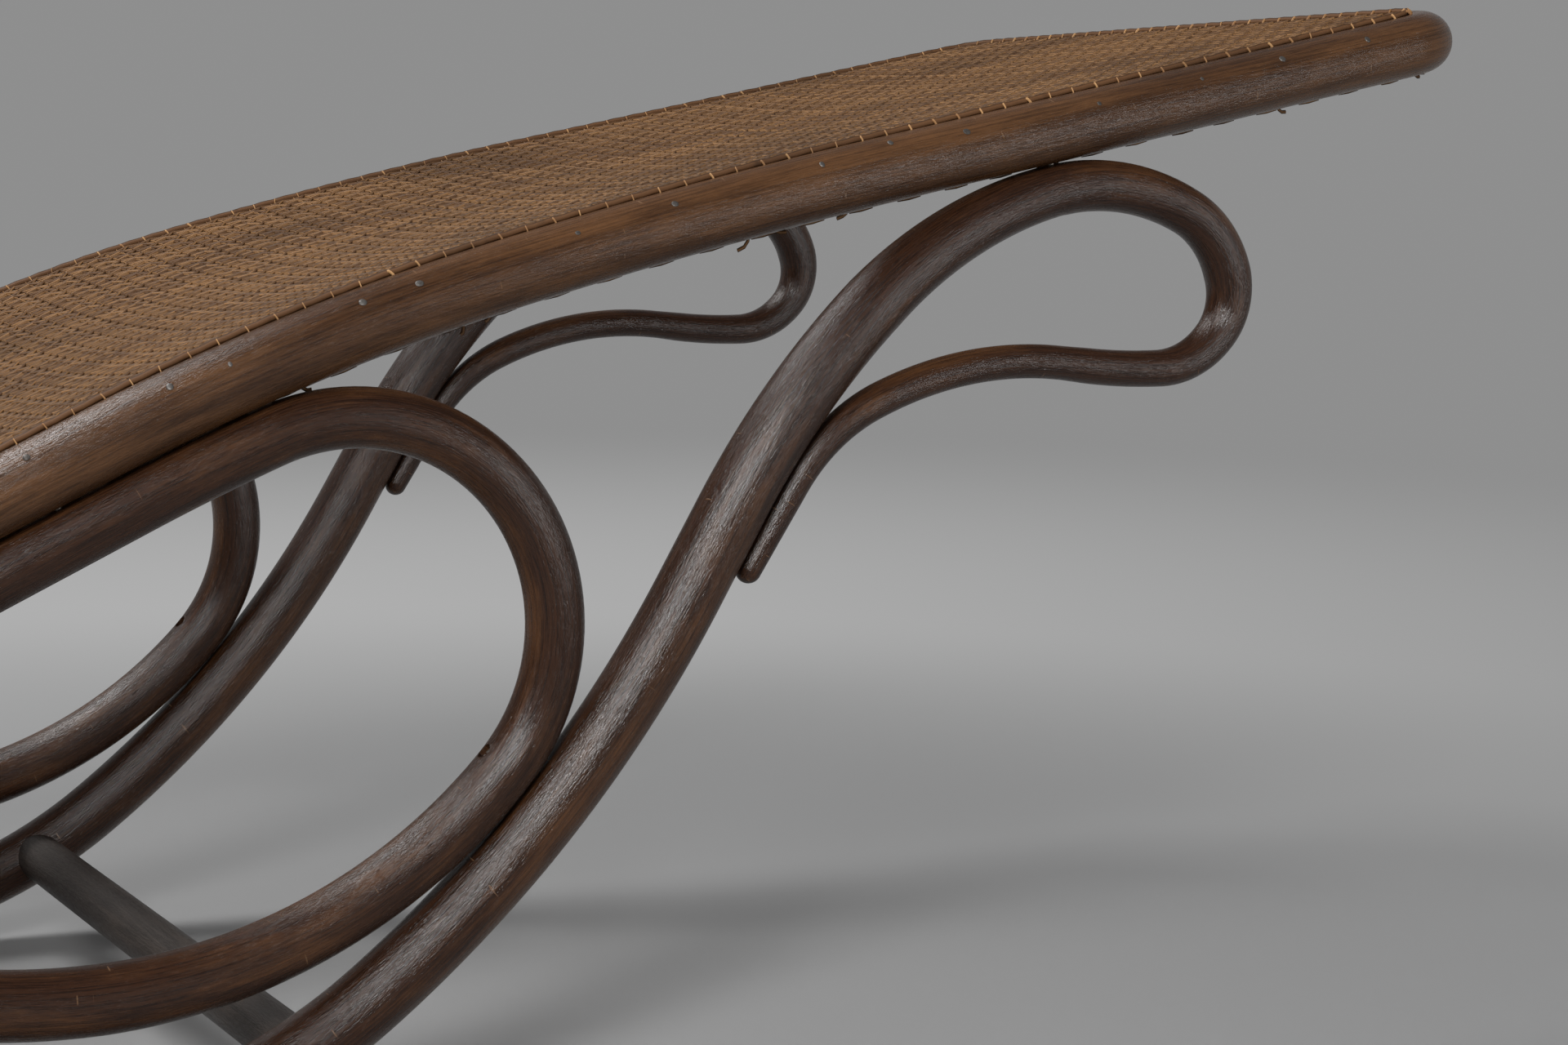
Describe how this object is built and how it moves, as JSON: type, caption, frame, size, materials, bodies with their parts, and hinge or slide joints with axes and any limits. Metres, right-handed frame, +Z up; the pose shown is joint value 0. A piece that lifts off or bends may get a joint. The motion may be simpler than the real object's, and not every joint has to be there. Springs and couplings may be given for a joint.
{
  "type": "rocking chaise",
  "caption": "Bentwood rocking chaise with looped runners, scrolled sides, bent arms, a long caned seat and a hinged caned back set by slotted quadrants and wing nuts.",
  "frame": {"origin": "on the floor, midway between the points where the two runners touch it at rest", "axes": "+X towards the foot end, +Y to the sitter's left, +Z up"},
  "size_m": [1.7581, 0.6866, 0.7647],
  "materials": {
    "bentwood": "satin",
    "cane": "satin",
    "iron": "satin",
    "steel": "satin",
    "brass": "satin"
  },
  "bodies": {
    "frame": {"seat_frame": "bentwood", "hip_rail": "bentwood", "seat_cane": "cane", "runner_left": "bentwood", "runner_right": "bentwood", "side_scroll_left": "bentwood", "side_scroll_right": "bentwood", "arm_left": "bentwood", "arm_right": "bentwood", "front_stretcher": "bentwood", "rear_stretcher": "bentwood", "ear_screws": "steel", "scroll_screws": "steel", "tail_screws": "steel", "lap_screws": "steel", "arm_bolts": "steel", "arm_nuts": "steel", "pivot_bolts": "steel", "pivot_washers": "brass", "pivot_nuts": "steel", "clamp_bolt_left": "steel", "clamp_bolt_right": "steel", "clamp_bush_left": "bentwood", "clamp_bush_right": "bentwood", "clamp_washers": "brass"},
    "back": {"back_frame": "bentwood", "back_rail": "bentwood", "back_cane": "cane", "quadrant_left": "iron", "quadrant_right": "iron", "quadrant_spacers": "steel", "quadrant_screws": "steel"},
    "wing_nut_left": {"wing_nut_left": "brass"},
    "wing_nut_right": {"wing_nut_right": "brass"}
  },
  "joints": [
    {"name": "back_recline", "type": "hinge", "parent": "frame", "child": "back", "pos_m": [-0.26551, 0, 0.2609], "axis": [0, 1, 0], "range_deg": [-20.5, 30]},
    {"name": "wing_nut_left_turn", "type": "hinge", "parent": "frame", "child": "wing_nut_left", "pos_m": [-0.46394, 0.32735, 0.4859], "axis": [0, 1, 0], "continuous": true},
    {"name": "wing_nut_right_turn", "type": "hinge", "parent": "frame", "child": "wing_nut_right", "pos_m": [-0.46394, -0.32735, 0.4859], "axis": [0, -1, 0], "continuous": true}
  ]
}
